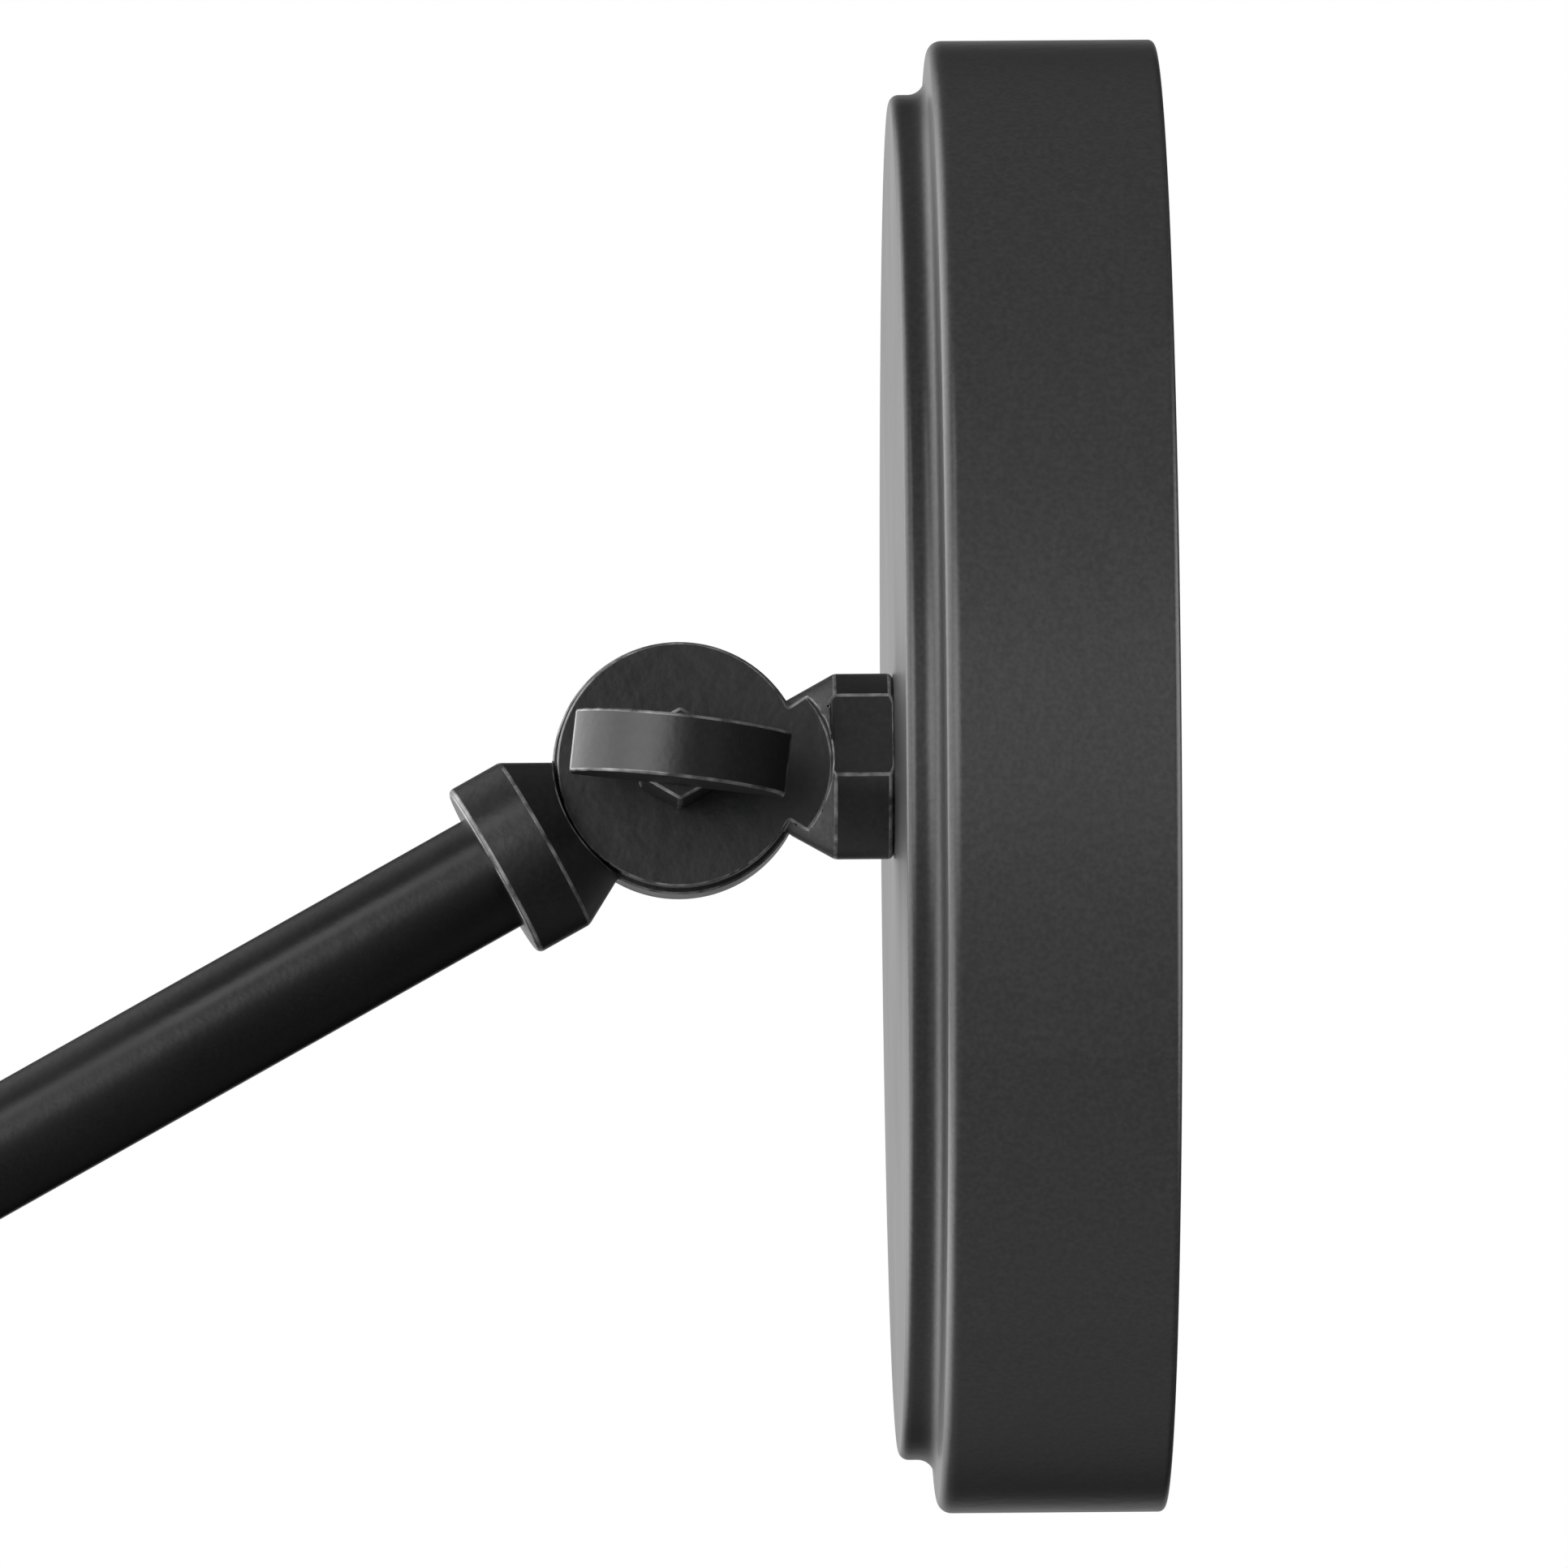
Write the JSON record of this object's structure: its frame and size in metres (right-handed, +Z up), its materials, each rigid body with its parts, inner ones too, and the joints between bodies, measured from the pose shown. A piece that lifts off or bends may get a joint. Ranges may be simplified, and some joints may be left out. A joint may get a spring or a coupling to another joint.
{
  "type": "extendable shaving mirror",
  "caption": "Round shaving mirror in a stepped housing, on folding tube arms with wing-key clamp knuckles and a swivelling wall mount.",
  "frame": {"origin": "centre of the wall plate's screw circle, on the wall face", "axes": "+X out of the wall towards the room, +Z up, the knuckles turn about axes along Y with their wing keys on the -Y side"},
  "size_m": [0.5216, 0.195, 0.2268],
  "materials": {
    "black_coat": "satin",
    "black_steel": "satin",
    "mirror": "polished",
    "zinc_steel": "satin",
    "bronze": "satin",
    "fibre": "matte",
    "hardboard": "matte",
    "foam": "matte",
    "rubber": "matte"
  },
  "bodies": {
    "wall_mount": {"wall_plate": "zinc_steel", "canopy": "black_coat", "canopy_screws": "black_steel", "swivel_bushing": "fibre"},
    "wall_swivel": {"swivel_stud": "zinc_steel", "swivel_friction_washer": "fibre", "swivel_spring_washer": "zinc_steel", "swivel_nut": "zinc_steel", "shoulder_far_half": "black_coat", "shoulder_clamp_bolt": "black_steel", "shoulder_friction_washer": "fibre", "shoulder_spring_washer": "black_steel"},
    "lower_arm": {"shoulder_near_half": "black_coat", "shoulder_sleeve": "bronze", "lower_tube": "black_coat", "elbow_far_half": "black_coat", "elbow_clamp_bolt": "black_steel", "elbow_friction_washer": "fibre", "elbow_spring_washer": "black_steel"},
    "upper_arm": {"elbow_near_half": "black_coat", "elbow_sleeve": "bronze", "upper_tube": "black_coat", "head_far_half": "black_coat", "head_clamp_bolt": "black_steel", "head_friction_washer": "fibre", "head_spring_washer": "black_steel"},
    "mirror_head": {"head_near_half": "black_coat", "head_sleeve": "bronze", "mounting_stud": "zinc_steel", "stiffening_disc": "zinc_steel", "lock_washer": "zinc_steel", "stud_nut": "zinc_steel", "mirror_housing": "black_coat", "seat_ring": "zinc_steel", "backing_disc": "hardboard", "backing_screws": "zinc_steel", "foam_pad": "foam", "mirror_glass": "mirror", "glass_gasket": "rubber"},
    "shoulder_key": {"shoulder_wing_key": "black_coat"},
    "elbow_key": {"elbow_wing_key": "black_coat"},
    "head_key": {"head_wing_key": "black_coat"}
  },
  "joints": [
    {"name": "wall_turn", "type": "hinge", "parent": "wall_mount", "child": "wall_swivel", "pos_m": [0, 0, 0], "axis": [1, 0, 0], "range_deg": [-90, 90]},
    {"name": "shoulder_tilt", "type": "hinge", "parent": "wall_swivel", "child": "lower_arm", "pos_m": [0.04865, 0, 0], "axis": [0, -1, 0], "range_deg": [-65, 75]},
    {"name": "elbow_fold", "type": "hinge", "parent": "lower_arm", "child": "upper_arm", "pos_m": [0.2571, 0, -0.0972], "axis": [0, 1, 0], "range_deg": [-60, 150]},
    {"name": "head_tilt", "type": "hinge", "parent": "upper_arm", "child": "mirror_head", "pos_m": [0.45718, 0, 0.01623], "axis": [0, -1, 0], "range_deg": [-70, 129]},
    {"name": "shoulder_key_turn", "type": "hinge", "parent": "wall_swivel", "child": "shoulder_key", "pos_m": [0.04865, 0, 0], "axis": [0, -1, 0], "range_deg": [-30, 180]},
    {"name": "elbow_key_turn", "type": "hinge", "parent": "lower_arm", "child": "elbow_key", "pos_m": [0.2571, 0, -0.0972], "axis": [0, -1, 0], "range_deg": [-30, 180]},
    {"name": "head_key_turn", "type": "hinge", "parent": "upper_arm", "child": "head_key", "pos_m": [0.45718, 0, 0.01623], "axis": [0, -1, 0], "range_deg": [-30, 180]}
  ]
}
